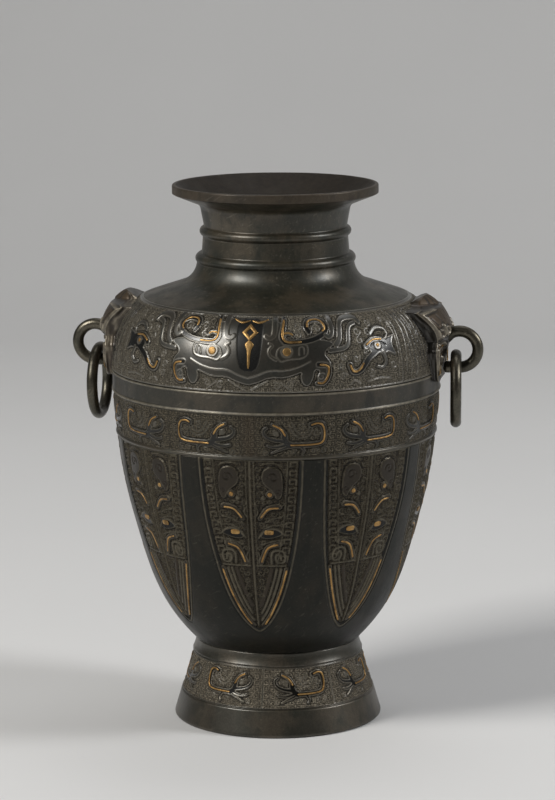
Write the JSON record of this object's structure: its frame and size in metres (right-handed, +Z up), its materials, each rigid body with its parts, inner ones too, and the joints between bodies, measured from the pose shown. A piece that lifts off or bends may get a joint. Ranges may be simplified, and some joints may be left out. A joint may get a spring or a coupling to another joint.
{
  "type": "bronze hu vase",
  "caption": "Archaistic bronze hu vase with a flared foot, bands and leaf blades inlaid with gold, and beast-mask handles that carry loose rings.",
  "frame": {"origin": "centre of the circle that the foot rests on", "axes": "+Z up along the vessel's axis, -Y towards the front, the handles along -X and +X"},
  "size_m": [0.2942, 0.2324, 0.381],
  "materials": {
    "bronze": "dark brown patinated cast bronze, waxed",
    "mask_bronze": "dark patinated cast bronze, polished by handling",
    "ring_bronze": "smooth dark bronze",
    "gold": "satin gold, slightly dulled"
  },
  "bodies": {
    "vessel": {"vessel_body": "bronze", "shoulder_section": "bronze", "neck_section": "bronze", "foot_ring": "bronze", "base_plate": "bronze", "left_mask": "mask_bronze", "right_mask": "mask_bronze", "left_hook": "mask_bronze", "right_hook": "mask_bronze", "left_rove": "bronze", "right_rove": "bronze", "shoulder_gold_front": "gold", "shoulder_gold_back": "gold", "belly_gold": "gold", "foot_gold": "gold", "leaf_gold_1": "gold", "leaf_gold_2": "gold", "leaf_gold_3": "gold", "leaf_gold_4": "gold", "leaf_gold_5": "gold", "leaf_gold_6": "gold", "leaf_gold_7": "gold", "leaf_gold_8": "gold", "left_mask_gold": "gold", "right_mask_gold": "gold"},
    "left_ring_body": {"left_ring": "ring_bronze"},
    "right_ring_body": {"right_ring": "ring_bronze"}
  },
  "joints": [
    {"name": "left_ring_swing", "type": "hinge", "parent": "vessel", "child": "left_ring_body", "pos_m": [-0.12761, 0, 0.2621], "axis": [0.0175, 0.9998, 0], "range_deg": [-6, 150]},
    {"name": "right_ring_swing", "type": "hinge", "parent": "vessel", "child": "right_ring_body", "pos_m": [0.12761, 0, 0.2621], "axis": [0.1045, -0.9945, 0], "range_deg": [-6, 150]}
  ]
}
